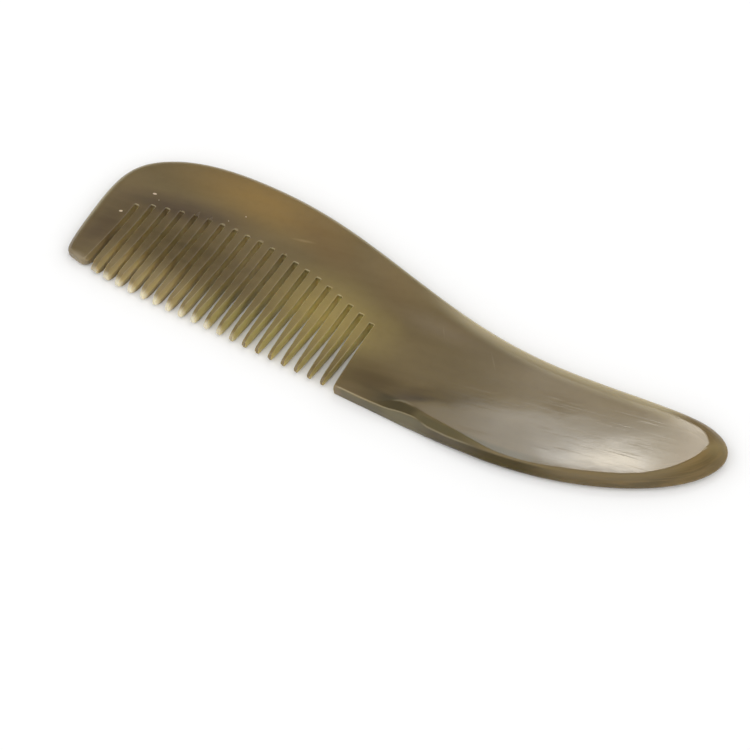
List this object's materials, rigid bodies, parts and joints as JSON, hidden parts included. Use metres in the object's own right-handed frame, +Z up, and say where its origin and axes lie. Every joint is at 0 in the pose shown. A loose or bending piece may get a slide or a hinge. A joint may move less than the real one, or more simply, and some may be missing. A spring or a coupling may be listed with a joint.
{
  "type": "horn comb with a handle",
  "caption": "One-piece horn hair comb with a curved back, narrow pointed teeth and a broad curved handle.",
  "frame": {"origin": "on the plane the comb rests on, under the middle of its overall length and width", "axes": "+X from the front tooth to the end of the handle, +Y from the tooth tips to the back, +Z up through the thickness"},
  "size_m": [0.185, 0.05, 0.0047],
  "materials": {
    "horn": "polished horn"
  },
  "bodies": {
    "root": {"comb": "horn"}
  },
  "joints": []
}
